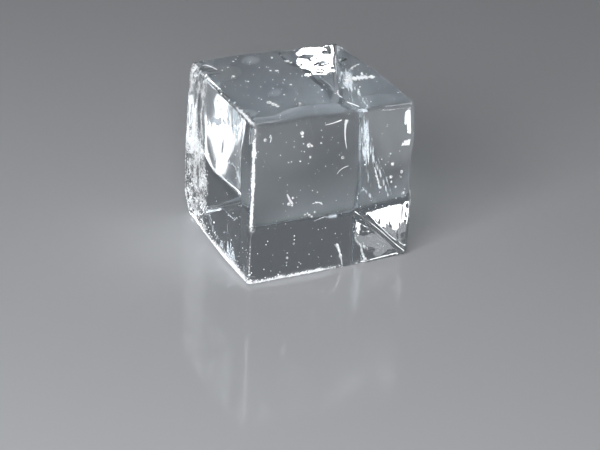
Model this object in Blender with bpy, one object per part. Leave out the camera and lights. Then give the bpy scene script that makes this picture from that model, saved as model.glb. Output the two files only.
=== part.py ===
"""An ice block: one cube of clear ice with worn edges, faces waved by melting and a flat base.

Metres, +Z up. The origin is the middle of the base's bounding rectangle, on the surface it stands on.
The front face looks along -Y and the left face along -X.
"""
import bmesh
import bpy
import numpy as np

MM = 0.001

# Driving dimensions of the block as it froze
WIDTH = 50.0 * MM
DEPTH = 48.0 * MM
HEIGHT = 49.5 * MM

# The grid on each of the six faces, with its lines crowded towards the edges
CELLS = 22
CROWDING = 0.90

# How far each corner has moved along X and Z as the block melted: (side, front or back, base or top)
CORNER_SHIFTS = {
    (-1, -1, -1): (-0.6 * MM, 0.0),
    (-1, -1, 1): (-0.5 * MM, 0.0),
    (-1, 1, 1): (0.8 * MM, 0.2 * MM),
    (-1, 1, -1): (-0.3 * MM, 0.0),
    (1, 1, 1): (-0.5 * MM, -0.3 * MM),
    (1, -1, 1): (0.3 * MM, -0.3 * MM),
    (1, -1, -1): (1.1 * MM, 0.0),
}

# Rounding of the edges, and what each worn corner adds to it within its reach
EDGE_RADIUS = 1.2 * MM
CORNER_WEAR = {
    (-1, 1, 1): (1.0 * MM, 9.0 * MM),
    (1, 1, 1): (1.1 * MM, 12.0 * MM),
    (1, -1, 1): (1.3 * MM, 10.0 * MM),
    (-1, -1, 1): (0.5 * MM, 8.0 * MM),
    (1, -1, -1): (1.0 * MM, 10.0 * MM),
    (-1, 1, -1): (1.2 * MM, 12.0 * MM),
    (1, 1, -1): (1.4 * MM, 14.0 * MM),
}

# Bevel worn along the left face's foot: it starts at the front corner and steepens to the back
FOOT_BEVEL_RISE = 2.5 * MM
FOOT_BEVEL_SWEEP = 6.5 * MM
FOOT_BEVEL_INSET = 2.0 * MM

# Shallow waves of the side faces and the top: depth, and spacing across and along the melt runs
WAVE_DEPTH = 0.13 * MM
WAVE_ACROSS = 15.0 * MM
WAVE_ALONG = 42.0 * MM
WAVE_COUNT = 6
WAVE_SEED = 11
WAVE_START = 4.0 * MM

# Chips off the edges: place as shares of the half sizes (height from -1 to 1), radius and depth
CHIPS = (
    ((-1.0, -1.0, -0.34), 2.4 * MM, 0.55 * MM),
    ((-1.0, 0.55, 1.0), 2.6 * MM, 0.50 * MM),
    ((-1.0, 0.82, 1.0), 3.4 * MM, 0.80 * MM),
    ((0.30, 1.0, 1.0), 4.0 * MM, 0.45 * MM),
    ((0.72, 1.0, 1.0), 3.0 * MM, 0.50 * MM),
    ((1.0, 1.0, 0.30), 4.0 * MM, 0.60 * MM),
    ((1.0, -1.0, 0.15), 12.0 * MM, 0.90 * MM),
)

HALF_SIZE = np.array([WIDTH, DEPTH, HEIGHT]) / 2


def crowded(share):
    """Moves a grid line from an even share of the half size towards the edge, along a sine."""
    bend = CROWDING * np.pi / 2
    return np.sin(share * bend) / np.sin(bend)


def edge_radius(box_points):
    """Rounding radius at each point: the edge radius, plus each corner's wear fading with distance."""
    radius = np.full(len(box_points), EDGE_RADIUS)
    for corner, (added, reach) in CORNER_WEAR.items():
        distance = np.linalg.norm(box_points - HALF_SIZE * corner, axis=1)
        radius += added * np.exp(-(distance / reach) ** 2)
    return radius


def rounded(box_points):
    """Rounds a box: each point goes one radius out from the nearest point of the box inset by it."""
    radius = edge_radius(box_points)[:, None]
    core = np.clip(box_points, radius - HALF_SIZE, HALF_SIZE - radius)
    outward = box_points - core
    outward /= np.linalg.norm(outward, axis=1)[:, None]
    return core + radius * outward, outward


def waved(points, outward):
    """Moves points along their normals by a sum of slow sines, drawn out in height, none at the base."""
    random = np.random.default_rng(WAVE_SEED)
    height = np.zeros(len(points))
    for _ in range(WAVE_COUNT):
        turn = random.uniform(0, 2 * np.pi)
        across = 2 * np.pi / (WAVE_ACROSS * random.uniform(0.7, 1.6))
        along = 2 * np.pi / (WAVE_ALONG * random.uniform(0.7, 1.6))
        direction = np.array([across * np.cos(turn), across * np.sin(turn), along])
        height += np.sin(points @ direction + random.uniform(0, 2 * np.pi))
    fade = np.clip((points[:, 2] + HALF_SIZE[2]) / WAVE_START, 0, 1)
    fade = fade * fade * (3 - 2 * fade)
    return points + outward * (WAVE_DEPTH / 2 * fade * height)[:, None]


def bevelled_foot(points):
    """Draws the left face's foot inwards, straight down from the bevel's top, which rises to the back."""
    back_share = np.clip((points[:, 1] + HALF_SIZE[1]) / DEPTH, 0, 1)
    top = FOOT_BEVEL_RISE * back_share + FOOT_BEVEL_SWEEP * back_share ** 4
    height = points[:, 2] + HALF_SIZE[2]
    drop = np.clip(1 - height / np.maximum(top, 1e-6), 0, 1)
    nearness = np.clip(-points[:, 0] / HALF_SIZE[0], 0, 1) ** 8
    result = points.copy()
    result[:, 0] += FOOT_BEVEL_INSET * back_share * drop * nearness
    return result


def chipped(points):
    """Draws points near each chip towards the middle of the block, on a smooth bowl-shaped falloff."""
    result = points.copy()
    for place, radius, depth in CHIPS:
        centre = HALF_SIZE * place
        distance = np.linalg.norm(points - centre, axis=1) / radius
        bowl = np.clip(1 - distance ** 2, 0, 1) ** 2
        inward = -np.array([place[0] * (abs(place[0]) == 1), place[1] * (abs(place[1]) == 1),
                            place[2] * (abs(place[2]) == 1)])
        result += depth * bowl[:, None] * inward / np.linalg.norm(inward)
    return result


def melted(points):
    """Shifts the corners and blends each shift over the block in proportion along all three axes."""
    shares = np.clip(points / HALF_SIZE, -1, 1)
    result = points.copy()
    for corner, (along_x, along_z) in CORNER_SHIFTS.items():
        weight = np.prod((1 + shares * corner) / 2, axis=1)
        result[:, 0] += weight * along_x
        result[:, 2] += weight * along_z
    return result


def block_points(shares):
    """Turns points on the cube from -1 to 1 into the worn block's surface, standing at z = 0."""
    box_points = crowded(shares) * HALF_SIZE
    points, outward = rounded(box_points)
    points = waved(points, outward)
    points = bevelled_foot(points)
    points = chipped(points)
    points = melted(points)
    low = points.min(axis=0)
    high = points.max(axis=0)
    return points - np.array([(low[0] + high[0]) / 2, (low[1] + high[1]) / 2, low[2]])


def ice_material():
    """Clear ice: a smooth dielectric of ice's refractive index."""
    material = bpy.data.materials.new("clear_ice")
    material.use_nodes = True
    shader = material.node_tree.nodes["Principled BSDF"]
    shader.inputs["Base Color"].default_value = (0.95, 0.98, 1.0, 1.0)
    shader.inputs["Roughness"].default_value = 0.06
    shader.inputs["IOR"].default_value = 1.31
    shader.inputs["Transmission Weight"].default_value = 1.0
    return material


def make_ice_block():
    """Subdivides a cube into an even grid and carries every vertex onto the worn block."""
    shape = bmesh.new()
    bmesh.ops.create_cube(shape, size=2.0)
    bmesh.ops.subdivide_edges(shape, edges=shape.edges[:], cuts=CELLS - 1, use_grid_fill=True)
    shares = np.array([vertex.co[:] for vertex in shape.verts])
    for vertex, place in zip(shape.verts, block_points(shares)):
        vertex.co = place
    bmesh.ops.triangulate(shape, faces=shape.faces[:])
    bmesh.ops.recalc_face_normals(shape, faces=shape.faces[:])
    mesh = bpy.data.meshes.new("ice_block")
    shape.to_mesh(mesh)
    shape.free()
    mesh.shade_smooth()
    mesh.materials.append(ice_material())
    block = bpy.data.objects.new("ice_block", mesh)
    bpy.context.scene.collection.objects.link(block)
    return block


for old_object in list(bpy.data.objects):
    bpy.data.objects.remove(old_object, do_unlink=True)

make_ice_block()
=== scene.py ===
"""A clear ice block on a plain grey glossy table, seen from the photograph's angle.

Metres, +Z up. The block stands on z = 0. Its front face looks along -Y and its left face along -X.
"""
import math

import bpy
import numpy as np
from mathutils import Matrix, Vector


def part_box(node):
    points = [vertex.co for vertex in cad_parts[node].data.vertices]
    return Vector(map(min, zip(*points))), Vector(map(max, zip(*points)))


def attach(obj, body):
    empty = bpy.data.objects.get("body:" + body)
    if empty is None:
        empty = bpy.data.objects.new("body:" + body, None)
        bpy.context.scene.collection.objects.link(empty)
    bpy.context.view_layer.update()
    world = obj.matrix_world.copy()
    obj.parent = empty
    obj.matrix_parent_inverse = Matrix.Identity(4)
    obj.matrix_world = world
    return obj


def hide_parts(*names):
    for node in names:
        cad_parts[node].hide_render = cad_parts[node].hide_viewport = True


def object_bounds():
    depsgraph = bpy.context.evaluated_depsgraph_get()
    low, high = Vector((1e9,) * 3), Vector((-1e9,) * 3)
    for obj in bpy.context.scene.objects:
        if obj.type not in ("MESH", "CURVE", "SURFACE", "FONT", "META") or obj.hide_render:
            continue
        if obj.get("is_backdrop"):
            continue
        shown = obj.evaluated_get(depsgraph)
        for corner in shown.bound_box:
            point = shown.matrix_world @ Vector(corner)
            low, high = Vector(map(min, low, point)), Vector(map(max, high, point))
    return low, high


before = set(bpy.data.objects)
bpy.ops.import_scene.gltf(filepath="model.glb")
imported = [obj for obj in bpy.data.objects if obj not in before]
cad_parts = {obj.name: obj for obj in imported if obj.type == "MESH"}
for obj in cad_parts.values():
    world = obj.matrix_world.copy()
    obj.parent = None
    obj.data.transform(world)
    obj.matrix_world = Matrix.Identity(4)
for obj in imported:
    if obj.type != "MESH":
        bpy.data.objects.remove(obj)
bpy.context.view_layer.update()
MM = 0.001

# The block of ice
# One body of clear frozen water, about 50 mm a side, cast in a mould and then worn by melting: its
# edges are rounded and chipped, its faces carry shallow melt runs, and its left foot is bevelled.
half_size = np.array([50.0, 48.0, 49.5]) / 2 * MM
ice_index = 1.31
block_cells = 126
block_crowding = 0.86
# How far each corner has moved across and up as the block melted
corner_shifts = {
    (-1, -1, -1): (-0.6 * MM, 0.0),
    (-1, -1, 1): (-0.5 * MM, 0.0),
    (-1, 1, 1): (0.8 * MM, 0.2 * MM),
    (-1, 1, -1): (-0.3 * MM, 0.0),
    (1, 1, 1): (-0.5 * MM, -0.3 * MM),
    (1, -1, 1): (0.3 * MM, -0.3 * MM),
    (1, -1, -1): (1.1 * MM, 0.0),
}
edge_round = 1.2 * MM
# What each worn corner adds to the rounding, and its reach
corner_wear = {
    (-1, 1, 1): (1.0 * MM, 9.0 * MM),
    (1, 1, 1): (1.1 * MM, 12.0 * MM),
    (1, -1, 1): (1.3 * MM, 10.0 * MM),
    (-1, -1, 1): (0.5 * MM, 8.0 * MM),
    (1, -1, -1): (1.0 * MM, 10.0 * MM),
    (-1, 1, -1): (1.2 * MM, 12.0 * MM),
    (1, 1, -1): (1.4 * MM, 14.0 * MM),
}
# Bevel along the left foot: its rise to the back, how much more it sweeps up there, and its inset
foot_bevel_rise = 2.5 * MM
foot_bevel_sweep = 6.5 * MM
foot_bevel_inset = 2.0 * MM
# Chips off the edges: place as shares of the half size, radius and depth
chips = (
    ((-1.0, -1.0, -0.34), 2.4 * MM, 0.55 * MM),
    ((-1.0, 0.55, 1.0), 2.6 * MM, 0.50 * MM),
    ((-1.0, 0.82, 1.0), 3.4 * MM, 0.80 * MM),
    ((0.30, 1.0, 1.0), 4.0 * MM, 0.45 * MM),
    ((0.72, 1.0, 1.0), 3.0 * MM, 0.50 * MM),
    ((1.0, 1.0, 0.30), 4.0 * MM, 0.60 * MM),
    ((1.0, -1.0, 0.15), 12.0 * MM, 0.90 * MM),
)
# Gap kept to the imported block's box
fit_margin = 0.01 * MM
# How far out in mm from the block's middle a point counts as on a face, for its shape and for its frost
shape_face = 20.0
frost_face = 24.0
# Slow waves of the melted faces, which begin above the base
wave_depth = 0.07 * MM
wave_count = 6
wave_across = 15.0 * MM
wave_along = 42.0 * MM
wave_seed = 11
wave_start = 4.0 * MM
# Upright flutes near the right and the left face: depths in mm where they begin and where they are full
flute_depth = 0.035 * MM
flute_size = np.array([2.6, 2.6, 26.0]) * MM
flute_reach = 4.0 * MM
right_flutes = (-24.0, -18.0)
left_flutes = (7.0, 12.0)
# Swirls at the back of the left face
swirl_depth = 0.05 * MM
swirl_size = np.array([9.0, 1.4, 6.0]) * MM
fine_swirl_size = np.array([9.0, 0.7, 2.5]) * MM
left_swirls = (11.0, 15.0)
# Uneven patch on the top: middle and half lengths in mm, and the level direction that it runs along
patch_middle = (10.0, 10.0)
patch_reach = (15.0, 10.0)
patch_lean = (0.45, 0.89)
patch_fullness = 1.7
# Its lumps are drawn out along the level direction in which the camera looks
sight_across = 0.46
sight_deep = 0.89
lump_depth = 0.05 * MM
lump_size = np.array([2.6, 5.0, 9.0]) * MM
fine_lump_depth = 0.028 * MM
fine_lump_size = np.array([1.2, 2.2, 9.0]) * MM
# Round dimple in the front, with rings in it: middle across and up, and reach, in mm
dimple_middle = (3.0, 4.0)
dimple_reach = 5.0
dimple_depth = 0.02 * MM
dimple_turns = 12
# Grains worn off the frosted edges
ragged_depth = 0.16 * MM
ragged_reach = 2.2 * MM
ragged_grain = 1.3 * MM
ragged_fine_grain = ragged_grain / 2.5
ragged_run = 0.1
# Frosted edges: axis they run along, sides of the other two axes, width, start and end along the axis
# as shares from -1 to 1, and strength
frosted_edges = (
    (2, (-1, -1), 1.15 * MM, -0.35, 1.0, 1.0),
    (2, (-1, -1), 0.50 * MM, -1.0, -0.25, 0.32),
    (1, (-1, 1), 1.0 * MM, -1.0, -0.35, 1.0),
    (1, (-1, 1), 0.5 * MM, -0.4, 0.9, 0.22),
    (1, (-1, -1), 3.8 * MM, -1.0, 0.45, 1.25),
    (0, (-1, -1), 2.0 * MM, -1.0, 0.15, 1.3),
    (2, (1, 1), 0.6 * MM, -0.85, 0.0, 0.06),
    (2, (-1, 1), 1.4 * MM, -0.9, 0.95, 0.22),
    (2, (1, -1), 1.1 * MM, -0.6, 0.0, 0.6),
)
# Frost along an edge is patchy. It comes in and dies away over these shares of the edge's half length.
patch_size = 1.6 * MM
fine_patch_size = 0.6 * MM
edge_start_run = 0.15
edge_end_run = 0.30
# Silvery strip at the back of the left face, in mm: depths where it begins and is full, and its foot
strip_start = (9.0, 12.0)
strip_foot = -10.0
strip_whitest = 0.75
curl_size = 5.0 * MM
curl_shift = 1.6
curl_slant = 0.2
strip_streak = np.array([9.0, 0.9, 5.0]) * MM
fine_strip_streak = np.array([9.0, 0.5, 1.8]) * MM
# Where the strip is densest: depth and height in mm, and its reach along each
cluster_middle = (16.5, 2.0)
cluster_reach = (5.0, 8.0)
# Dense band low on the left face's back edge, in mm. Its front edge leans back from a height for a
# stretch up, and it has ended at the first height of band_top and is full at the second.
band_depth = 6.0
band_lean_start = -4.0
band_lean_stretch = 9.0
band_lean = 0.6
band_run = 2.5
band_top = (6.0, 1.0)
band_whitest = 0.8
band_patch_size = 2.8 * MM
# Frosted strokes on the right face: depth and height in mm of both ends, half widths there, strength
right_strokes = (
    ((16.5, 4.4), (15.5, -1.5), 3.6, 4.8, 1.60),
    ((16.0, -1.5), (19.0, -4.0), 4.4, 1.6, 1.40),
    ((21.0, 3.0), (22.0, -4.0), 0.6, 0.6, 0.80),
    ((9.5, -3.0), (-4.0, -11.5), 1.5, 0.7, 0.55),
    ((5.0, -2.0), (-6.0, -10.0), 0.5, 0.4, 0.40),
    ((15.5, -9.5), (12.5, -13.0), 1.2, 0.8, 0.25),
    ((17.5, -16.0), (10.5, -16.6), 0.5, 0.8, 0.35),
    ((21.0, -18.5), (18.0, -16.2), 0.4, 0.5, 0.60),
)
stroke_streak = np.array([9.0, 1.0, 5.0]) * MM
fine_stroke_streak = np.array([9.0, 0.5, 2.2]) * MM


def cube_lattice(cells):
    """Points on the surface of the cube from -1 to 1, on an even grid of cells along each side, and the
    quads that join them. A point's number is its place among all surface points in order of height,
    depth and width, so neighbouring faces share the points of their common edge."""
    steps = np.arange(cells + 1)
    first, second = np.meshgrid(steps, steps, indexing="ij")
    quads = []
    places = []
    for axis in range(3):
        for side in (0, cells):
            place = np.empty((cells + 1, cells + 1, 3), dtype=np.int64)
            place[..., axis] = side
            place[..., (axis + 1) % 3] = first
            place[..., (axis + 2) % 3] = second
            key = (place[..., 2] * (cells + 1) + place[..., 1]) * (cells + 1) + place[..., 0]
            corners = [key[:-1, :-1], key[1:, :-1], key[1:, 1:], key[:-1, 1:]]
            if side == 0:
                corners.reverse()
            quads.append(np.stack(corners, axis=-1).reshape(-1, 4))
            places.append(place.reshape(-1, 3))
    quads = np.concatenate(quads)
    places = np.concatenate(places)
    keys = (places[:, 2] * (cells + 1) + places[:, 1]) * (cells + 1) + places[:, 0]
    kept, first_use = np.unique(keys, return_index=True)
    return places[first_use] / cells * 2.0 - 1.0, np.searchsorted(kept, quads)


def slow_sines(points, count, across, along, seed):
    """Sum of count sine waves of the points' place. Each runs in a random level direction, repeats
    about every across metres level and every along metres up and down, and has a random phase."""
    random = np.random.default_rng(seed)
    height = np.zeros(len(points))
    for _ in range(count):
        turn = random.uniform(0, 2 * np.pi)
        level = 2 * np.pi / (across * random.uniform(0.7, 1.6))
        upward = 2 * np.pi / (along * random.uniform(0.7, 1.6))
        direction = np.array([level * np.cos(turn), level * np.sin(turn), upward])
        height += np.sin(points @ direction + random.uniform(0, 2 * np.pi))
    return height


def lumps(points, size, seed):
    """Smooth random values from -1 to 1. Each corner of a cubic lattice of that size, or of one size
    along each axis, holds a random number, and a point blends the eight around it by smoothstep."""
    place = (points - points.min(axis=0)) / size + 0.5
    corner = np.floor(place).astype(np.int64)
    share = place - corner
    share = share * share * (3 - 2 * share)
    lattice = np.random.default_rng(seed).uniform(-1, 1, corner.max(axis=0) + 2)
    value = np.zeros(len(points))
    for step in np.ndindex(2, 2, 2):
        weight = np.prod(np.where(step, share, 1 - share), axis=1)
        value += weight * lattice[tuple((corner + step).T)]
    return value


def fade(distance, reach):
    """One at no distance, none from the reach on, along a smoothstep."""
    share = np.clip(1 - distance / reach, 0, 1)
    return share * share * (3 - 2 * share)


def ramp(value, start, full):
    """None at the start and before it, one from full on, and even in between. Full may be the lower."""
    return np.clip((value - start) / (full - start), 0, 1)


def edge_gap(box_points, axis, sides):
    """Distance along the surface from one of the box's edges: the one parallel to axis, on the given
    sides of the other two axes in their order."""
    others = [other for other in range(3) if other != axis]
    gaps = [half_size[other] - side * box_points[:, other] for other, side in zip(others, sides)]
    return np.hypot(*gaps)


def edge_stretch(box_points, axis, start, end, start_run, end_run):
    """One along an edge from start to end, which are shares from -1 to 1 of the axis it runs along. It
    rises evenly over start_run after the start and falls evenly over end_run before the end."""
    along = box_points[:, axis] / half_size[axis]
    return np.clip((along - start) / start_run, 0, 1) * np.clip((end - along) / end_run, 0, 1)


def stroke_gap(first, second, start, end, start_width, end_width):
    """Distance of the points (first, second) from the segment from start to end, as a share of the
    stroke's half width, which changes evenly from start to end."""
    run = np.subtract(end, start)
    share = ((first - start[0]) * run[0] + (second - start[1]) * run[1]) / (run @ run)
    share = np.clip(share, 0, 1)
    distance = np.hypot(first - start[0] - share * run[0], second - start[1] - share * run[1])
    return distance / (start_width + (end_width - start_width) * share)


def rounded_box(box_points, radius):
    """Each point goes one radius out from the nearest point of the box that is inset by that radius."""
    radius = radius[:, None]
    core = np.clip(box_points, radius - half_size, half_size - radius)
    outward = box_points - core
    outward /= np.linalg.norm(outward, axis=1)[:, None]
    return core + radius * outward, outward


def block_surface(shares):
    """Carries points of the cube from -1 to 1 onto the worn block: lines crowded towards the edges by a
    sine, edges rounded by a radius that grows at worn corners, points pushed out along their normals by
    the relief, the left foot drawn in below its bevel, bowl-shaped chips, then corners shifted in
    proportion."""
    bend = block_crowding * np.pi / 2
    box_points = np.sin(shares * bend) / np.sin(bend) * half_size
    radius = np.full(len(box_points), edge_round)
    for corner, (added, reach) in corner_wear.items():
        distance = np.linalg.norm(box_points - half_size * corner, axis=1)
        radius += added * np.exp(-(distance / reach) ** 2)
    points, outward = rounded_box(box_points, radius)
    points = points + outward * relief(box_points)[:, None]
    back_share = np.clip((points[:, 1] + half_size[1]) / (2 * half_size[1]), 0, 1)
    bevel_top = foot_bevel_rise * back_share + foot_bevel_sweep * back_share ** 4
    drop = np.clip(1 - (points[:, 2] + half_size[2]) / np.maximum(bevel_top, 1e-6), 0, 1)
    nearness = np.clip(-points[:, 0] / half_size[0], 0, 1) ** 8
    points[:, 0] += foot_bevel_inset * back_share * drop * nearness
    for place, reach, depth in chips:
        distance = np.linalg.norm(points - half_size * place, axis=1) / reach
        bowl = np.clip(1 - distance ** 2, 0, 1) ** 2
        inward = -np.array(place) * (np.abs(place) == 1)
        points += depth * bowl[:, None] * inward / np.linalg.norm(inward)
    places = np.clip(points / half_size, -1, 1)
    for corner, (along_x, along_z) in corner_shifts.items():
        weight = np.prod((1 + places * corner) / 2, axis=1)
        points[:, 0] += weight * along_x
        points[:, 2] += weight * along_z
    return points, box_points


def top_patch(across, deep, high):
    """Height of the uneven patch on the top. It fades out along an oval: the distances from its middle
    along its lean and square to it are shares of its half lengths, and their hypotenuse is the distance.
    In it coarse and fine lumps add up, on places turned about the upright to the camera's look."""
    off_across = across - patch_middle[0]
    off_deep = deep - patch_middle[1]
    along = (off_across * patch_lean[0] + off_deep * patch_lean[1]) / patch_reach[0]
    aside = (off_across * patch_lean[1] - off_deep * patch_lean[0]) / patch_reach[1]
    patch = np.clip(patch_fullness * fade(np.hypot(along, aside), 1.0), 0, 1) * (high > shape_face)
    turned_across = across * sight_deep - deep * sight_across
    turned_deep = across * sight_across + deep * sight_deep
    turned = np.column_stack([turned_across, turned_deep, high]) * MM
    coarse = lump_depth * lumps(turned, lump_size, 8)
    return patch * (coarse + fine_lump_depth * lumps(turned, fine_lump_size, 9))


def relief(box_points):
    """Height of the melted surface over the rounded box. It adds up slow waves, upright flutes down the
    right face and the back of the left face, swirls at the back of the left face, the patch on the top
    and the ringed dimple in the front, a falling cosine of the distance. Grains worn off along the
    frosted edges are taken away: the upper halves of coarse and fine lumps, near the edge."""
    across, deep, high = (box_points / MM).T
    rise = 1 - fade(box_points[:, 2] + half_size[2], wave_start)
    waves = slow_sines(box_points, wave_count, wave_across, wave_along, wave_seed)
    height = wave_depth / 2 * rise * waves
    fluted = fade(half_size[0] - box_points[:, 0], flute_reach) * ramp(deep, *right_flutes)
    fluted += fade(half_size[0] + box_points[:, 0], flute_reach) * ramp(deep, *left_flutes)
    height += flute_depth * rise * fluted * lumps(box_points, flute_size, 5)
    swirls = lumps(box_points, swirl_size, 6) + 0.5 * lumps(box_points, fine_swirl_size, 7)
    height += swirl_depth * swirls * (across < -shape_face) * ramp(deep, *left_swirls) * rise
    height += top_patch(across, deep, high)
    ring = np.hypot(across - dimple_middle[0], high - dimple_middle[1]) / dimple_reach
    height -= dimple_depth * fade(ring, 1.0) * np.cos(ring * dimple_turns) * (deep < -shape_face)
    grains = lumps(box_points, ragged_grain, 21) + 0.6 * lumps(box_points, ragged_fine_grain, 22)
    worn = np.zeros(len(box_points))
    for axis, sides, reach, start, end, strength in frosted_edges:
        inside = edge_stretch(box_points, axis, start, end, ragged_run, ragged_run)
        near = fade(edge_gap(box_points, axis, sides), ragged_reach)
        worn = np.maximum(worn, strength * inside * near)
    return height - ragged_depth * worn * np.clip(grains, 0, 2) * rise


def edge_frost(box_points, patchy):
    """Frost in broken lines along the worn edges: it fades with the distance from each edge, and patches
    make that distance seem shorter and the frost stronger."""
    frost = np.zeros(len(box_points))
    for axis, sides, reach, start, end, strength in frosted_edges:
        inside = edge_stretch(box_points, axis, start, end, edge_start_run, edge_end_run)
        gap = edge_gap(box_points, axis, sides) * (1 - 0.30 * patchy)
        frost = np.maximum(frost, strength * inside * fade(gap, reach) * (1 + 0.35 * patchy))
    return frost


def strip_frost(box_points, on_left):
    """Silvery streaks at the back of the left face: lumps drawn out upwards, on places that slow lumps
    have shifted in depth and height so that the streaks curl, with more of them in a cluster."""
    across, deep, high = (box_points / MM).T
    curl = lumps(box_points, curl_size, 33)
    curled = np.column_stack([across, deep + curl_shift * curl, high + curl_slant * deep * curl]) * MM
    streaks = 1.2 * lumps(curled, strip_streak, 34) + 0.8 * lumps(curled, fine_strip_streak, 38)
    off_deep = np.abs(deep - cluster_middle[0])
    off_high = np.abs(high - cluster_middle[1])
    cluster = 0.45 * fade(off_high, cluster_reach[1]) * fade(off_deep, cluster_reach[0])
    strip = ramp(deep, *strip_start) * on_left * (high > strip_foot)
    return strip * np.clip(0.17 + cluster + 0.65 * streaks, 0, strip_whitest)


def band_front(high, depth):
    """Where the left face's band begins, in mm of depth: at the given depth low down, then further back
    evenly with height along its leaning stretch, and upright again above it."""
    return depth + np.clip(high - band_lean_start, 0, band_lean_stretch) * band_lean


def band_frost(box_points, patchy, on_left):
    """Frost in the dense band low on the left face's back edge, broken up by patches in its front edge
    and in its strength."""
    across, deep, high = (box_points / MM).T
    inside = np.clip((deep - band_front(high, band_depth) + band_run * patchy) / band_run, 0, 1)
    broken = 0.22 + 0.35 * patchy + 0.3 * lumps(box_points, band_patch_size, 37)
    return inside * on_left * ramp(high, *band_top) * np.clip(broken, 0, band_whitest)


def stroke_frost(box_points):
    """Frosted strokes on the right face: each fades with the distance from its line, which lumps drawn
    out upwards make longer or shorter, so the stroke breaks up into streaks."""
    across, deep, high = (box_points / MM).T
    on_right = across > frost_face
    drawn_out = lumps(box_points, stroke_streak, 35) + 0.8 * lumps(box_points, fine_stroke_streak, 36)
    frost = np.zeros(len(box_points))
    for start, end, start_width, end_width, strength in right_strokes:
        gap = stroke_gap(deep, high, start, end, start_width, end_width) - 0.5 * drawn_out
        frost = np.maximum(frost, strength * fade(gap, 1.0) * on_right * (1 + 0.7 * drawn_out))
    return frost


def frost_share(box_points):
    """How frosted the ice is, from 0, clear, to 1, white: the most of what the worn edges, the strip and
    the band on the left face and the strokes on the right face give."""
    patchy = lumps(box_points, patch_size, 31) + 0.7 * lumps(box_points, fine_patch_size, 32)
    on_left = box_points[:, 0] < -frost_face * MM
    frost = np.maximum(edge_frost(box_points, patchy), strip_frost(box_points, on_left))
    frost = np.maximum(frost, band_frost(box_points, patchy, on_left))
    return np.clip(np.maximum(frost, stroke_frost(box_points)), 0, 1)


def mesh_piece(name, points, faces, material):
    """A new smooth-shaded object at the origin from points and faces, with one material."""
    mesh = bpy.data.meshes.new(name)
    mesh.from_pydata(points.tolist(), [], faces)
    mesh.shade_smooth()
    mesh.materials.append(material)
    piece = bpy.data.objects.new(name, mesh)
    bpy.context.scene.collection.objects.link(piece)
    return piece


def clear_ice():
    """Water ice: transmission with ice's index of refraction and a faint blue absorption in depth. Where
    the frost attribute is high, fine noise breaks the surface into white, rough grains."""
    material = bpy.data.materials.new("clear_ice")
    material.use_nodes = True
    nodes = material.node_tree.nodes
    links = material.node_tree.links
    shader = nodes["Principled BSDF"]
    shader.inputs["IOR"].default_value = ice_index
    frost = nodes.new("ShaderNodeAttribute")
    frost.attribute_name = "frost"
    place = nodes.new("ShaderNodeTexCoord")
    grain = nodes.new("ShaderNodeTexNoise")
    grain.inputs["Scale"].default_value = 1500.0
    grain.inputs["Detail"].default_value = 3.0
    grain.inputs["Roughness"].default_value = 0.6
    links.new(place.outputs["Object"], grain.inputs["Vector"])
    spread = nodes.new("ShaderNodeMapRange")
    spread.inputs["From Min"].default_value = 0.35
    spread.inputs["From Max"].default_value = 0.65
    spread.inputs["To Min"].default_value = 0.35
    spread.inputs["To Max"].default_value = 1.5
    links.new(grain.outputs["Fac"], spread.inputs["Value"])
    amount = nodes.new("ShaderNodeMath")
    amount.operation = "MULTIPLY"
    amount.use_clamp = True
    links.new(frost.outputs["Fac"], amount.inputs[0])
    links.new(spread.outputs["Result"], amount.inputs[1])
    for socket, clear, frosted in (("Transmission Weight", 1.0, 0.35), ("Roughness", 0.0, 0.90)):
        mixed = nodes.new("ShaderNodeMapRange")
        mixed.inputs["To Min"].default_value = clear
        mixed.inputs["To Max"].default_value = frosted
        links.new(amount.outputs["Value"], mixed.inputs["Value"])
        links.new(mixed.outputs["Result"], shader.inputs[socket])
    colour = nodes.new("ShaderNodeMix")
    colour.data_type = "RGBA"
    colour.inputs["A"].default_value = (1.0, 1.0, 1.0, 1.0)
    colour.inputs["B"].default_value = (0.93, 0.96, 1.0, 1.0)
    links.new(amount.outputs["Value"], colour.inputs["Factor"])
    links.new(colour.outputs["Result"], shader.inputs["Base Color"])
    depth = nodes.new("ShaderNodeVolumeAbsorption")
    depth.inputs["Color"].default_value = (0.45, 0.80, 1.0, 1.0)
    depth.inputs["Density"].default_value = 2.5
    links.new(depth.outputs["Volume"], nodes["Material Output"].inputs["Volume"])
    return material


shares, quads = cube_lattice(block_cells)
ice_points, ice_box_points = block_surface(shares)
packed_block_low, packed_block_high = (np.array(corner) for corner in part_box("ice_block"))
low = ice_points.min(axis=0)
size_share = (packed_block_high - packed_block_low - 2 * fit_margin) / (ice_points.max(axis=0) - low)
ice_points = packed_block_low + fit_margin + (ice_points - low) * size_share
ice_points[:, 2] -= fit_margin
ice_body = mesh_piece("ice_body", ice_points, quads.tolist(), clear_ice())
frost = ice_body.data.attributes.new("frost", "FLOAT", "POINT")
frost.data.foreach_set("value", frost_share(ice_box_points).astype(np.float32))
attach(ice_body, "root")
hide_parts("ice_block")

# Air bubbles
# Round and drawn-out pockets of air that froze into the ice, from specks to nearly 2 mm across. Each is
# a closed surface inside the block, with light bending as it does from ice into air.

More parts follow.
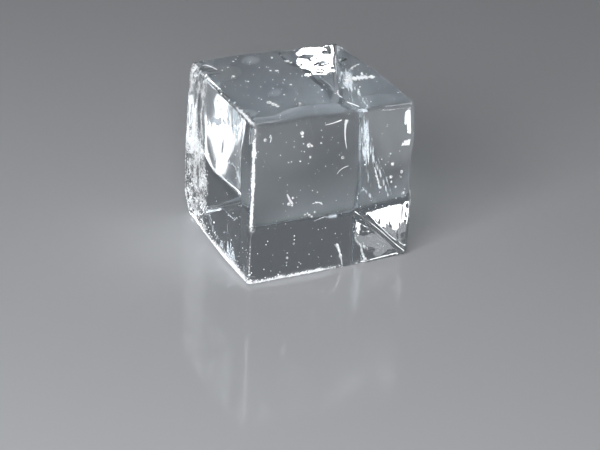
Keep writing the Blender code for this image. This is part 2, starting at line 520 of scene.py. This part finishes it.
# Bubbles under the top: places across and in depth, and half widths, all in mm
air_bubbles_near_top = (
    (-12.4, 19.3, 0.30), (-11.0, 20.4, 0.22), (-15.7, 15.6, 0.36), (-18.2, 14.1, 0.24), (-17.0, 8.9, 0.50),
    (-14.6, 4.1, 0.34), (-0.4, 18.3, 0.42), (2.7, 14.3, 0.46), (3.2, 12.9, 0.34), (-5.1, 9.4, 0.36),
    (-3.3, 8.8, 0.42), (-15.4, -11.6, 0.62), (-14.9, -13.2, 0.60), (-14.3, -14.8, 0.50), (-9.0, -7.9, 0.28),
    (-4.1, -2.0, 0.30), (-7.5, -15.0, 0.44), (5.0, -12.0, 0.30), (9.0, -9.0, 0.34), (17.9, 2.8, 0.55),
    (19.5, 4.2, 0.34), (21.0, 5.2, 0.26), (14.0, -10.0, 0.30), (12.0, -13.0, 0.26),
)
# Bubbles behind the front: places across and up, and half widths, all in mm
air_bubbles_near_front = (
    (-11.2, 45.0, 0.46), (-11.0, 43.9, 0.30), (-8.9, 41.0, 0.62), (-8.1, 40.7, 0.45), (-8.3, 37.3, 0.30),
    (-22.4, 44.6, 0.40), (-20.9, 45.3, 0.26), (-5.0, 41.0, 0.30), (1.9, 35.5, 0.34), (-9.0, 19.5, 0.26),
    (-8.2, 19.9, 0.22), (-7.6, 19.2, 0.30), (-6.8, 18.6, 0.24), (-5.9, 19.9, 0.24), (-13.0, 25.5, 0.34),
    (-14.2, 23.8, 0.42), (-13.2, 23.2, 0.38), (-12.0, 13.4, 0.24), (-12.0, 12.2, 0.20), (-12.1, 11.0, 0.26),
    (-14.0, 8.4, 0.20), (-14.0, 6.8, 0.26), (-14.1, 5.4, 0.20), (18.2, 30.8, 0.45), (21.4, 27.8, 0.42),
    (21.2, 26.2, 0.30), (17.9, 26.8, 0.46), (18.2, 25.2, 0.30), (19.7, 23.4, 0.28), (13.2, 28.0, 0.30),
    (13.9, 26.2, 0.26), (14.8, 24.0, 0.28), (22.4, 21.0, 0.36),
)
# Depth of the bubbles under the face, and how much larger and more uneven each is than its half width
air_bubble_depth = 1.2 * MM
air_bubble_growth = 1.25
air_bubble_stretch = (0.7, 1.15)
air_bubble_cells = 8
# Specks: number, half widths, how far they are drawn out, gap to the block's sides, cells along a side
air_speck_count = 90
air_speck_sizes = (0.06 * MM, 0.17 * MM)
air_speck_stretch = (0.8, 1.3)
air_speck_gap = 2.5 * MM
air_speck_cells = 4
# Ways into the ice along which the photograph's camera looks, for each unit below the top and behind
# the front
sight_under_top = np.array([0.44, 0.89, -1.0])
sight_under_front = np.array([0.36, 1.0, -0.37])


def pebbles(centres, half_lengths, turns, cells):
    """Joins one smooth egg per centre: the points of a cube lattice pushed onto a sphere, stretched to
    the three half lengths, turned about the upright and moved to the centre."""
    lattice, faces = cube_lattice(cells)
    ball = lattice / np.linalg.norm(lattice, axis=1)[:, None]
    eggs = ball[None] * half_lengths[:, None, :]
    turned = eggs.copy()
    cosine = np.cos(turns)[:, None]
    sine = np.sin(turns)[:, None]
    turned[..., 0] = cosine * eggs[..., 0] - sine * eggs[..., 1]
    turned[..., 1] = sine * eggs[..., 0] + cosine * eggs[..., 1]
    points = (turned + centres[:, None, :]).reshape(-1, 3)
    starts = np.arange(len(centres)) * len(ball)
    return points, (faces[None] + starts[:, None, None]).reshape(-1, 4)


def air_in_ice():
    """Air seen from inside ice: light passes at one over ice's index, and fine noise turns parts of the
    walls white and rough, where less of it passes."""
    material = bpy.data.materials.new("air_in_ice")
    material.use_nodes = True
    nodes = material.node_tree.nodes
    shader = nodes["Principled BSDF"]
    shader.inputs["Base Color"].default_value = (1.0, 1.0, 1.0, 1.0)
    shader.inputs["IOR"].default_value = 1 / ice_index
    place = nodes.new("ShaderNodeTexCoord")
    frosting = nodes.new("ShaderNodeTexNoise")
    frosting.inputs["Scale"].default_value = 2500.0
    material.node_tree.links.new(place.outputs["Object"], frosting.inputs["Vector"])
    for socket, smooth, frosted in (("Roughness", 0.10, 0.45), ("Transmission Weight", 0.75, 0.30)):
        mixed = nodes.new("ShaderNodeMapRange")
        mixed.inputs["From Min"].default_value = 0.4
        mixed.inputs["From Max"].default_value = 0.6
        mixed.inputs["To Min"].default_value = smooth
        mixed.inputs["To Max"].default_value = frosted
        material.node_tree.links.new(frosting.outputs["Fac"], mixed.inputs["Value"])
        material.node_tree.links.new(mixed.outputs["Result"], shader.inputs[socket])
    return material


random = np.random.default_rng(41)
near_top = np.array(air_bubbles_near_top) * MM
near_front = np.array(air_bubbles_near_front) * MM
block_top = packed_block_high[2]
block_front = packed_block_low[1]
top_level = np.full(len(near_top), block_top)
top_centres = np.column_stack([near_top[:, 0], near_top[:, 1], top_level])
top_centres += air_bubble_depth * sight_under_top
front_plane = np.full(len(near_front), block_front)
front_centres = np.column_stack([near_front[:, 0], front_plane, near_front[:, 1]])
front_centres += air_bubble_depth * sight_under_front
speck_low = packed_block_low + air_speck_gap
speck_high = packed_block_high - air_speck_gap
speck_centres = random.uniform(speck_low, speck_high, (air_speck_count, 3))
bubble_centres = np.concatenate([top_centres, front_centres])
bubble_sizes = np.concatenate([near_top[:, 2], near_front[:, 2]])[:, None] * air_bubble_growth
bubble_sizes = bubble_sizes * random.uniform(*air_bubble_stretch, (len(bubble_centres), 3))
speck_sizes = random.uniform(*air_speck_sizes, (air_speck_count, 1))
speck_sizes = speck_sizes * random.uniform(*air_speck_stretch, (air_speck_count, 3))
bubble_turns = random.uniform(0, np.pi, len(bubble_centres))
bubble_points, bubble_faces = pebbles(bubble_centres, bubble_sizes, bubble_turns, air_bubble_cells)
speck_turns = random.uniform(0, np.pi, air_speck_count)
speck_points, speck_faces = pebbles(speck_centres, speck_sizes, speck_turns, air_speck_cells)
air_bubbles = mesh_piece(
    "air_bubbles",
    np.concatenate([bubble_points, speck_points]),
    np.concatenate([bubble_faces, speck_faces + len(bubble_points)]).tolist(),
    air_in_ice(),
)
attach(air_bubbles, "root")

# Air wisps
# Thin drawn-out air pockets that froze in as the ice grew: threads that taper, a thick beaded rope and
# hair lines. Each is a closed tube just under the top or the front face.
wisp_sides = 10
wisp_rings = 40
wisp_growth = 1.5 * MM
wisp_depth = 2.3 * MM
# A slanting direction that no thread follows, from which the points of a thread's rings are counted
wisp_ring_start = np.array([0.37, 0.55, 0.75])
# Face; start, bend and end on it in mm; thickness in mm at start and end; beads along it
wisps = (
    ("front", (2.6, 46.9), (1.6, 44.0), (3.1, 38.0), 0.50, 0.12, 0),
    ("front", (2.5, 47.0), (2.4, 46.0), (2.0, 45.2), 0.75, 0.45, 0),
    ("front", (-4.2, 46.4), (-1.5, 46.4), (1.0, 47.2), 0.12, 0.30, 0),
    ("front", (1.6, 8.4), (3.2, 5.0), (3.9, 1.0), 0.62, 0.34, 2),
    ("front", (9.6, 6.4), (10.2, 3.0), (11.8, 1.0), 0.30, 0.55, 5),
    ("front", (12.4, 30.8), (13.6, 27.0), (14.6, 23.5), 0.22, 0.30, 6),
    ("front", (-21.0, 46.0), (-20.3, 45.0), (-20.9, 43.6), 0.16, 0.16, 0),
    ("front", (0.5, 30.6), (1.5, 32.4), (4.0, 32.6), 0.14, 0.16, 0),
    ("front", (-6.8, 22.6), (-4.6, 23.2), (-3.6, 21.8), 0.20, 0.30, 4),
    ("front", (-6.0, 17.0), (-4.0, 17.6), (-2.2, 17.9), 0.16, 0.12, 3),
    ("front", (-14.9, 27.0), (-14.2, 25.4), (-13.0, 23.4), 0.35, 0.55, 0),
    ("top", (-21.8, 19.4), (-20.3, 19.4), (-19.4, 15.0), 0.28, 0.36, 0),
    ("top", (-15.4, -11.4), (-14.4, -12.6), (-14.3, -15.0), 0.50, 0.60, 3),
    ("top", (12.2, -4.4), (16.6, -3.4), (21.6, -4.9), 1.35, 1.10, 7),
    ("top", (13.9, -2.9), (14.4, -2.4), (14.7, -1.7), 0.90, 0.50, 0),
    ("top", (18.7, -2.7), (18.8, -1.8), (19.5, -0.6), 0.55, 0.40, 0),
    ("top", (11.6, -6.4), (12.4, -4.8), (14.4, -3.2), 0.75, 1.00, 2),
    ("top", (17.6, 2.6), (19.2, 4.6), (22.0, 5.5), 0.32, 0.30, 5),
    ("top", (6.9, -10.2), (4.9, -12.6), (5.6, -15.6), 0.34, 0.26, 4),
    ("top", (5.4, -18.5), (6.6, -20.6), (7.2, -22.6), 0.40, 0.24, 0),
    ("top", (18.4, 14.0), (15.6, 9.0), (12.0, 0.5), 0.16, 0.12, 0),
)


def tapered_tube(start, bend, end, start_width, end_width, beads):
    """A closed tube along the curve that blends start, bend and end by (1 - t) squared, 2 t (1 - t) and
    t squared. Its half width goes evenly from one to the other and swells at each bead by a sine whose
    spacing and strength waver. Near both ends it closes as the square root of one less the eighth power
    of the distance from the middle. Its rings lie across the curve's direction."""
    share = (1 - np.cos(np.linspace(0, np.pi, wisp_rings))) / 2
    near = share[:, None]
    path = (1 - near) ** 2 * start + 2 * near * (1 - near) * bend + near ** 2 * end
    ahead = 2 * (1 - near) * (bend - start) + 2 * near * (end - bend)
    ahead /= np.linalg.norm(ahead, axis=1)[:, None]
    aside = np.cross(ahead, wisp_ring_start)
    aside /= np.linalg.norm(aside, axis=1)[:, None]
    upward = np.cross(ahead, aside)
    width = (start_width + (end_width - start_width) * share) / 2
    bead_turn = 2 * np.pi * beads * share + 1.4 * np.sin(2 * np.pi * 1.6 * share + 0.8)
    width = width * (1 + (0.42 + 0.10 * np.sin(17 * share)) * np.sin(bead_turn) * (beads > 0))
    width = width * np.sqrt(np.clip(1 - (2 * share - 1) ** 8, 1e-4, 1))
    turn = np.arange(wisp_sides) * 2 * np.pi / wisp_sides
    ring = np.cos(turn)[None, :, None] * aside[:, None] + np.sin(turn)[None, :, None] * upward[:, None]
    tube = (path[:, None] + ring * width[:, None, None]).reshape(-1, 3)
    first = np.arange(wisp_rings - 1)[:, None] * wisp_sides + np.arange(wisp_sides)
    second = np.roll(first, -1, axis=1)
    faces = np.stack([first, second, second + wisp_sides, first + wisp_sides], axis=-1).reshape(-1, 4)
    caps = np.array([np.arange(wisp_sides)[::-1], np.arange(wisp_sides) + (wisp_rings - 1) * wisp_sides])
    return tube, faces, caps


def under_face(face, place):
    """The point in the ice under a place on the top or the front face, moved in along the sight line."""
    if face == "top":
        on_face = np.array([place[0] * MM, place[1] * MM, block_top])
        return on_face + wisp_depth * sight_under_top
    on_face = np.array([place[0] * MM, block_front, place[1] * MM])
    return on_face + wisp_depth * sight_under_front


def milky_air():
    """Air in a thread whose walls are crazed: white and rough, with some light passing through."""
    material = bpy.data.materials.new("milky_air")
    material.use_nodes = True
    nodes = material.node_tree.nodes
    shader = nodes["Principled BSDF"]
    shader.inputs["Base Color"].default_value = (0.97, 0.98, 1.0, 1.0)
    shader.inputs["IOR"].default_value = 1 / ice_index
    shader.inputs["Roughness"].default_value = 0.35
    place = nodes.new("ShaderNodeTexCoord")
    crazing = nodes.new("ShaderNodeTexNoise")
    crazing.inputs["Scale"].default_value = 1800.0
    material.node_tree.links.new(place.outputs["Object"], crazing.inputs["Vector"])
    mixed = nodes.new("ShaderNodeMapRange")
    mixed.inputs["From Min"].default_value = 0.4
    mixed.inputs["From Max"].default_value = 0.6
    mixed.inputs["To Min"].default_value = 0.45
    mixed.inputs["To Max"].default_value = 0.0
    material.node_tree.links.new(crazing.outputs["Fac"], mixed.inputs["Value"])
    material.node_tree.links.new(mixed.outputs["Result"], shader.inputs["Transmission Weight"])
    return material


wisp_points = []
wisp_faces = []
for face, start, bend, end, start_width, end_width, beads in wisps:
    ends = [under_face(face, place) for place in (start, bend, end)]
    tube, faces, caps = tapered_tube(*ends, start_width * wisp_growth, end_width * wisp_growth, beads)
    first_point = len(wisp_points) * len(tube)
    wisp_points.append(tube)
    wisp_faces += (faces + first_point).tolist() + (caps + first_point).tolist()
air_wisps = mesh_piece("air_wisps", np.concatenate(wisp_points), wisp_faces, milky_air())
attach(air_wisps, "root")

# Frost grains
# Crumbs of white frost and burst bubbles that sit on the worn edges: a crust along the foot of the left
# face, a thinner line along the front foot, and a dense band low on the left face's back edge.
grain_count = 4000
grain_size = 0.12 * MM
grain_spread = 0.42
grain_largest = 0.36 * MM
grain_flatness = (0.75, 1.0)
grain_sunk = 0.2
grain_cells = 2
grain_patch_size = 2.0 * MM
# Faces on which grains lie, in mm from the block's middle
grain_left = -24.0
grain_front = -23.0
grain_base = -24.74
# Crust along the left foot and line along the front foot, in mm: height up to which it is full, height
# over which it fades out above that, and height over which a thin scatter dies away
left_foot = (1.3, 1.2, 3.0)
front_foot = (0.6, 1.0, 2.5)
# Where the two die away, in mm of depth and across
left_foot_end = (14.0, 8.0)
front_foot_end = (4.0, -4.0)
# How far from the upright front edge and the top left edge grains lie, in mm
grain_edge_width = 0.8
# The left face's band, in mm: depth of its front edge low down, how soon it is full behind that, and
# the heights where it has ended and is full
grain_band_depth = 5.0
grain_band_run = 4.0
grain_band_top = (7.0, 3.0)
grain_band_patch_size = 1.5 * MM


def grain_density(box_points):
    """How thickly grains lie at each point. It adds up a full crust up to a height over the feet of the
    left and front faces, each with a scatter that dies away exponentially above it, bell curves across
    the upright front edge and the top left edge, the patchy band at the back of the left face, and a
    few grains everywhere but on the base."""
    across, deep, high = (box_points / MM).T
    rise = high + half_size[2] / MM
    patchy = 0.65 + 0.6 * lumps(box_points, grain_patch_size, 51)
    on_left = across < grain_left
    crust_top, crust_reach, scatter_reach = left_foot
    crust = fade(rise - crust_top, crust_reach) + 0.07 * np.exp(-rise / scatter_reach)
    density = on_left * crust * ramp(deep, *left_foot_end)
    crust_top, crust_reach, scatter_reach = front_foot
    crust = 0.5 * fade(rise - crust_top, crust_reach) + 0.008 * np.exp(-rise / scatter_reach)
    density += (deep < grain_front) * crust * ramp(across, *front_foot_end)
    front_upright = edge_gap(box_points, 2, (-1, -1)) / MM
    on_upper_part = np.clip((high + 8) / 6, 0.25, 1)
    density += 0.05 * np.exp(-(front_upright / grain_edge_width) ** 2) * on_upper_part
    top_left = edge_gap(box_points, 1, (-1, 1)) / MM
    density += 0.04 * np.exp(-(top_left / grain_edge_width) ** 2)
    inside = np.clip((deep - band_front(high, grain_band_depth)) / grain_band_run, 0, 1)
    band = inside * on_left * ramp(high, *grain_band_top)
    density += 0.20 * band * np.clip(0.35 + 1.2 * lumps(box_points, grain_band_patch_size, 52), 0, 1)
    return np.clip(density * patchy + 0.0003, 0, None) * (high >= grain_base)


def frost_white():
    """White frost: rough, faintly blue, with light passing through it in part."""
    material = bpy.data.materials.new("frost_white")
    material.use_nodes = True
    nodes = material.node_tree.nodes
    shader = nodes["Principled BSDF"]
    shader.inputs["Roughness"].default_value = 0.70
    shader.inputs["IOR"].default_value = ice_index
    shader.inputs["Transmission Weight"].default_value = 0.30
    place = nodes.new("ShaderNodeTexCoord")
    mottle = nodes.new("ShaderNodeTexNoise")
    mottle.inputs["Scale"].default_value = 2000.0
    tint = nodes.new("ShaderNodeMix")
    tint.data_type = "RGBA"
    tint.inputs["A"].default_value = (0.86, 0.91, 0.97, 1.0)
    tint.inputs["B"].default_value = (0.98, 0.99, 1.0, 1.0)
    material.node_tree.links.new(place.outputs["Object"], mottle.inputs["Vector"])
    material.node_tree.links.new(mottle.outputs["Fac"], tint.inputs["Factor"])
    material.node_tree.links.new(tint.outputs["Result"], shader.inputs["Base Color"])
    return material


corner_points = ice_points[quads]
first_diagonals = corner_points[:, 2] - corner_points[:, 0]
second_diagonals = corner_points[:, 3] - corner_points[:, 1]
quad_normals = np.cross(first_diagonals, second_diagonals)
quad_areas = np.linalg.norm(quad_normals, axis=1)
quad_normals /= quad_areas[:, None]
quad_shares = quad_areas * grain_density(ice_box_points)[quads].mean(axis=1)
chosen = random.choice(len(quads), grain_count, p=quad_shares / quad_shares.sum())
along, aside = random.uniform(0, 1, (2, grain_count, 1))
picked = corner_points[chosen]
grain_centres = (picked[:, 0] * (1 - along) + picked[:, 1] * along) * (1 - aside)
grain_centres += (picked[:, 3] * (1 - along) + picked[:, 2] * along) * aside
grain_sizes = grain_size * np.exp(random.normal(0, grain_spread, (grain_count, 1)))
grain_sizes = np.minimum(grain_sizes, grain_largest) * random.uniform(*grain_flatness, (grain_count, 3))
grain_centres -= quad_normals[chosen] * grain_sizes[:, :1] * grain_sunk
reach = grain_sizes.max(axis=1)[:, None] + fit_margin
grain_centres = np.clip(grain_centres, packed_block_low + reach, packed_block_high - reach)
grain_turns = random.uniform(0, np.pi, grain_count)
grain_points, grain_faces = pebbles(grain_centres, grain_sizes, grain_turns, grain_cells)
frost_grains = mesh_piece("frost_grains", grain_points, grain_faces.tolist(), frost_white())
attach(frost_grains, "root")

# The table top
# A plain grey glossy sheet under the block, which it mirrors faintly. It isn't part of the object, and
# lies a hair below the block's base.
floor_reach = 3.0
floor_drop = 0.02 * MM


def grey_table():
    """Grey matt colour under a smooth surface that mirrors a little."""
    material = bpy.data.materials.new("grey_table")
    material.use_nodes = True
    shader = material.node_tree.nodes["Principled BSDF"]
    shader.inputs["Base Color"].default_value = (0.26, 0.265, 0.275, 1.0)
    shader.inputs["Roughness"].default_value = 0.08
    shader.inputs["IOR"].default_value = 1.5
    return material


floor_points = np.array([[-1, -1, 0], [1, -1, 0], [1, 1, 0], [-1, 1, 0]]) * floor_reach
floor_points = floor_points - np.array([0, 0, floor_drop])
floor = mesh_piece("table_top", floor_points, [[0, 1, 2, 3]], grey_table())
floor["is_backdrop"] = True

# The studio
# A dim room, a wide soft box in front to the left, a box high to the right, and small bright cards
# close to the block, which the ice catches as its white highlights.
box_distance = 0.90
soft_box_way = (-45, 27)
soft_box_size = (0.80, 0.50)
soft_box_radiance = 17.0
right_box_way = (76, 42)
right_box_size = (0.50, 0.40)
right_box_radiance = 8.0
inner_box_distance = 0.92
inner_box_radiance = 36.0

room = bpy.data.worlds.new("dim_room")
room.use_nodes = True
room.node_tree.nodes["Background"].inputs["Color"].default_value = (0.90, 0.94, 1.0, 1.0)
room.node_tree.nodes["Background"].inputs["Strength"].default_value = 0.14
bpy.context.scene.world = room


def light_panel(name, place, towards, width, height, radiance):
    """A flat light at a place that shines along a direction, with its lower side level. Its power is its
    radiance times its area times pi."""
    facing = -np.array(towards) / np.linalg.norm(towards)
    level = np.cross([0, 0, 1], facing)
    level /= np.linalg.norm(level)
    upward = np.cross(facing, level)
    light = bpy.data.lights.new(name, "AREA")
    light.shape = "RECTANGLE"
    light.size = width
    light.size_y = height
    light.energy = radiance * math.pi * width * height
    panel = bpy.data.objects.new(name, light)
    columns = [(*column, 0) for column in (level, upward, facing)] + [(*place, 1)]
    panel.matrix_world = Matrix(columns).transposed()
    bpy.context.scene.collection.objects.link(panel)
    return panel


def way_from(azimuth, elevation):
    """Unit direction from the block in degrees: azimuth 0 is in front of it and 90 is to its right."""
    turn = math.radians(azimuth)
    lift = math.radians(elevation)
    return np.array([math.sin(turn) * math.cos(lift), -math.cos(turn) * math.cos(lift), math.sin(lift)])


# The soft box lights only what is matt. The right-hand box doesn't: the ice and the table mirror it, and
# it is seen through the ice.
for name, direction, size, radiance, on_matt in (
    ("soft_box", soft_box_way, soft_box_size, soft_box_radiance, True),
    ("right_box", right_box_way, right_box_size, right_box_radiance, False),
):
    way = way_from(*direction)
    panel = light_panel(name, way * box_distance, -way, *size, radiance)
    panel.visible_diffuse = on_matt
    panel.visible_glossy = not on_matt
    panel.visible_transmission = not on_matt

# A second box just behind the soft box lights only what is matt inside the ice: its nodes let it shine
# on a path that has already met something matt, so it isn't seen through the clear ice itself.
way = way_from(*soft_box_way)
inner_box = light_panel("inner_box", way * inner_box_distance, -way, *soft_box_size, 1.0)
inner_box.visible_glossy = False
inner_box.visible_diffuse = False
inner_box.data.use_nodes = True
lamp_nodes = inner_box.data.node_tree.nodes
lamp_links = inner_box.data.node_tree.links
ray = lamp_nodes.new("ShaderNodeLightPath")
met_matt = lamp_nodes.new("ShaderNodeMath")
met_matt.operation = "GREATER_THAN"
met_matt.inputs[1].default_value = 0.5
lamp_links.new(ray.outputs["Diffuse Depth"], met_matt.inputs[0])
glow = lamp_nodes.new("ShaderNodeMath")
glow.operation = "MULTIPLY"
glow.inputs[1].default_value = inner_box_radiance
lamp_links.new(met_matt.outputs["Value"], glow.inputs[0])
lamp_links.new(glow.outputs["Value"], lamp_nodes["Emission"].inputs["Strength"])

# Small bright cards close to the block, in four planes. A plane has a middle in mm and a way from the
# block to it. Its cards are seen either only through the ice, where the last value is true, or only in
# reflections.
card_planes = {
    "front": ((81.0, -127.0, 48.0), (0.36, -0.83, 0.435), False),
    "right": ((41.0, -55.0, 29.0), (0.50, -0.77, -0.39), False),
    "back_left": ((-41.5, 106.7, 53.6), (-0.485, 0.748, 0.453), True),
    "behind": ((45.8, 77.1, 79.1), (0.442, 0.816, 0.372), False),
}
# Plane; start and end across it and up it in mm, with across to the right as seen from the block;
# radiance
cards = (
    ("front", (-12.0, 17.0), (-6.0, 8.0), 14.0),
    ("front", (-37.0, -12.0), (-1.2, 8.0), 14.0),
    ("front", (-4.0, 17.0), (8.0, 18.5), 14.0),
    ("front", (-37.0, -4.0), (8.0, 20.0), 1.2),
    ("front", (-37.0, 27.0), (20.0, 33.0), 0.25),
    ("right", (-4.0, 0.0), (-1.5, 6.0), 40.0),
    ("right", (-4.0, -0.6), (-5.0, -1.5), 40.0),
    ("right", (-4.3, -1.8), (-13.0, -10.0), 30.0),
    ("back_left", (-9.0, -4.0), (-3.5, 4.8), 3.0),
    ("back_left", (-4.0, -0.1), (-3.5, 3.2), 3.0),
    ("back_left", (-0.1, 2.0), (-3.5, -1.2), 3.0),
    ("back_left", (2.0, 5.5), (-3.5, 3.2), 3.0),
    ("back_left", (5.5, 12.0), (-3.5, 4.8), 3.0),
    ("back_left", (-9.0, 12.0), (4.8, 9.0), 0.20),
    ("behind", (-6.2, 1.2), (-6.2, 3.8), 22.0),
    ("behind", (1.2, 5.2), (-6.2, -3.3), 22.0),
    ("behind", (1.2, 5.2), (1.2, 3.8), 22.0),
    ("behind", (4.2, 5.2), (-3.3, 1.2), 22.0),
    ("behind", (-6.2, 2.3), (3.8, 5.0), 22.0),
)
for number, (plane, across, up, radiance) in enumerate(cards):
    middle, way, through_ice = card_planes[plane]
    card_right = np.cross(way, [0, 0, 1])
    card_right /= np.linalg.norm(card_right)
    card_up = np.cross(card_right, way)
    place = np.array(middle) + card_right * sum(across) / 2 + card_up * sum(up) / 2
    width = (across[1] - across[0]) * MM
    height = (up[1] - up[0]) * MM
    card = light_panel(f"card_{plane}_{number}", place * MM, -np.array(way), width, height, radiance)
    card.visible_camera = False
    card.visible_diffuse = False
    card.visible_glossy = not through_ice
    card.visible_transmission = through_ice

# The camera
# A long lens at the photograph's angle: turned to the left face, looking down, rolled a little.
camera_azimuth = math.radians(-27.3)
camera_elevation = math.radians(26.6)
camera_roll = math.radians(2.9)
camera_distance = 0.592
focal_pixels = 2000
frame_width = 600
centre_right_pixels = 7
centre_up_pixels = 10

camera_back = np.array([
    math.sin(camera_azimuth) * math.cos(camera_elevation),
    -math.cos(camera_azimuth) * math.cos(camera_elevation),
    math.sin(camera_elevation),
])
level_right = np.cross(-camera_back, [0, 0, 1])
level_right /= np.linalg.norm(level_right)
level_up = np.cross(camera_back, level_right)
camera_right = math.cos(camera_roll) * level_right + math.sin(camera_roll) * level_up
camera_up = math.cos(camera_roll) * level_up - math.sin(camera_roll) * level_right
pixel = camera_distance / focal_pixels
aim_point = camera_right * centre_right_pixels * pixel + camera_up * centre_up_pixels * pixel
lens = bpy.data.cameras.new("camera")
lens.sensor_width = 36.0
lens.lens = focal_pixels / frame_width * lens.sensor_width
lens.clip_start = 0.01
camera = bpy.data.objects.new("camera", lens)
camera_columns = [(*column, 0) for column in (camera_right, camera_up, camera_back)]
camera_columns.append((*(aim_point + camera_back * camera_distance), 1))
camera.matrix_world = Matrix(camera_columns).transposed()
bpy.context.scene.collection.objects.link(camera)
bpy.context.scene.camera = camera
bpy.context.scene.view_settings.view_transform = "Standard"

low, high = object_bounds()
